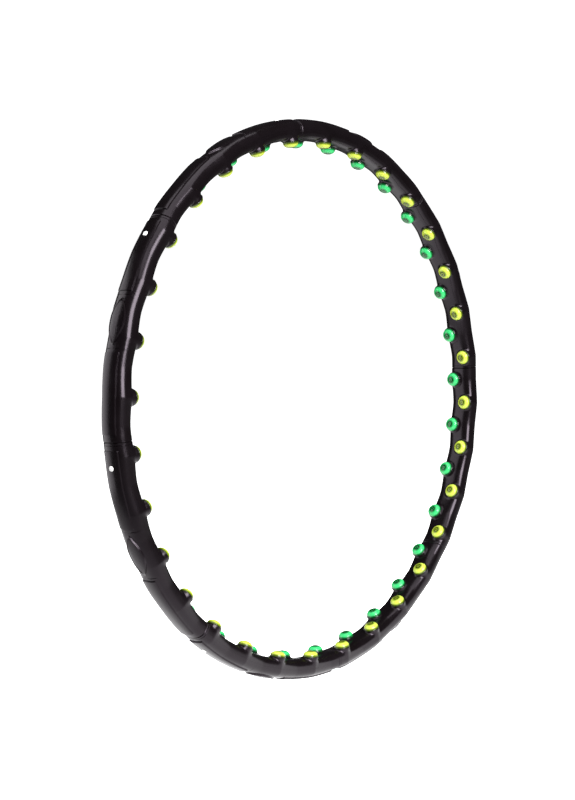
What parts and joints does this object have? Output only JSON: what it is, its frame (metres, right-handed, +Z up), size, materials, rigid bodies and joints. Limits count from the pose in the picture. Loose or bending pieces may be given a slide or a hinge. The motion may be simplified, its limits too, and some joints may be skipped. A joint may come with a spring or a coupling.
{
  "type": "rhythmic hoop",
  "caption": "Sectional massage hoop: a ring of snap-together plastic tube sections lined inside with two staggered rows of translucent knobs.",
  "frame": {"origin": "centre of the ring, midway between its two sides", "axes": "+Y along the ring's axis, from the yellow row of knobs to the green one; +Z up, through one of the seams; +X to the right as seen from the yellow side"},
  "size_m": [0.9782, 0.0544, 0.9782],
  "materials": {
    "black_plastic": "semi-gloss moulded, slightly brown black",
    "plug_plastic": "moulded dark grey",
    "yellow_dome": "translucent, glossy",
    "green_dome": "translucent, glossy",
    "white_plastic": "moulded white",
    "spring_steel": "bright wire"
  },
  "bodies": {
    "hoop_ring": {"outer_shell_1": "black_plastic", "outer_shell_2": "black_plastic", "outer_shell_3": "black_plastic", "outer_shell_4": "black_plastic", "outer_shell_5": "black_plastic", "outer_shell_6": "black_plastic", "outer_shell_7": "black_plastic", "outer_shell_8": "black_plastic", "inner_shell_1": "black_plastic", "inner_shell_2": "black_plastic", "inner_shell_3": "black_plastic", "inner_shell_4": "black_plastic", "inner_shell_5": "black_plastic", "inner_shell_6": "black_plastic", "inner_shell_7": "black_plastic", "inner_shell_8": "black_plastic", "yellow_knob_strip_1": "yellow_dome", "yellow_knob_strip_2": "yellow_dome", "yellow_knob_strip_3": "yellow_dome", "yellow_knob_strip_4": "yellow_dome", "yellow_knob_strip_5": "yellow_dome", "yellow_knob_strip_6": "yellow_dome", "yellow_knob_strip_7": "yellow_dome", "yellow_knob_strip_8": "yellow_dome", "green_knob_strip_1": "green_dome", "green_knob_strip_2": "green_dome", "green_knob_strip_3": "green_dome", "green_knob_strip_4": "green_dome", "green_knob_strip_5": "green_dome", "green_knob_strip_6": "green_dome", "green_knob_strip_7": "green_dome", "green_knob_strip_8": "green_dome", "plug_1": "plug_plastic", "plug_2": "plug_plastic", "plug_3": "plug_plastic", "plug_4": "plug_plastic", "plug_5": "plug_plastic", "plug_6": "plug_plastic", "plug_7": "plug_plastic", "plug_8": "plug_plastic", "button_spring_1": "spring_steel", "button_spring_2": "spring_steel", "button_spring_3": "spring_steel", "button_spring_4": "spring_steel", "button_spring_5": "spring_steel", "button_spring_6": "spring_steel", "button_spring_7": "spring_steel", "button_spring_8": "spring_steel"},
    "lock_button_1": {"lock_button_1": "white_plastic"},
    "lock_button_2": {"lock_button_2": "white_plastic"},
    "lock_button_3": {"lock_button_3": "white_plastic"},
    "lock_button_4": {"lock_button_4": "white_plastic"},
    "lock_button_5": {"lock_button_5": "white_plastic"},
    "lock_button_6": {"lock_button_6": "white_plastic"},
    "lock_button_7": {"lock_button_7": "white_plastic"},
    "lock_button_8": {"lock_button_8": "white_plastic"}
  },
  "joints": [
    {"name": "lock_button_press_1", "type": "slide", "parent": "hoop_ring", "child": "lock_button_1", "axis": [0, 0, -1], "range_m": [0, 0.006], "stiffness_N_per_m": 400, "springref_m": -0.002, "deforming": ["button_spring_1"]},
    {"name": "lock_button_press_2", "type": "slide", "parent": "hoop_ring", "child": "lock_button_2", "axis": [-0.7071, 0, -0.7071], "range_m": [0, 0.006], "stiffness_N_per_m": 400, "springref_m": -0.002, "deforming": ["button_spring_2"]},
    {"name": "lock_button_press_3", "type": "slide", "parent": "hoop_ring", "child": "lock_button_3", "axis": [-1, 0, 0], "range_m": [0, 0.006], "stiffness_N_per_m": 400, "springref_m": -0.002, "deforming": ["button_spring_3"]},
    {"name": "lock_button_press_4", "type": "slide", "parent": "hoop_ring", "child": "lock_button_4", "axis": [-0.7071, 0, 0.7071], "range_m": [0, 0.006], "stiffness_N_per_m": 400, "springref_m": -0.002, "deforming": ["button_spring_4"]},
    {"name": "lock_button_press_5", "type": "slide", "parent": "hoop_ring", "child": "lock_button_5", "axis": [0, 0, 1], "range_m": [0, 0.006], "stiffness_N_per_m": 400, "springref_m": -0.002, "deforming": ["button_spring_5"]},
    {"name": "lock_button_press_6", "type": "slide", "parent": "hoop_ring", "child": "lock_button_6", "axis": [0.7071, 0, 0.7071], "range_m": [0, 0.006], "stiffness_N_per_m": 400, "springref_m": -0.002, "deforming": ["button_spring_6"]},
    {"name": "lock_button_press_7", "type": "slide", "parent": "hoop_ring", "child": "lock_button_7", "axis": [1, 0, 0], "range_m": [0, 0.006], "stiffness_N_per_m": 400, "springref_m": -0.002, "deforming": ["button_spring_7"]},
    {"name": "lock_button_press_8", "type": "slide", "parent": "hoop_ring", "child": "lock_button_8", "axis": [0.7071, 0, -0.7071], "range_m": [0, 0.006], "stiffness_N_per_m": 400, "springref_m": -0.002, "deforming": ["button_spring_8"]}
  ]
}
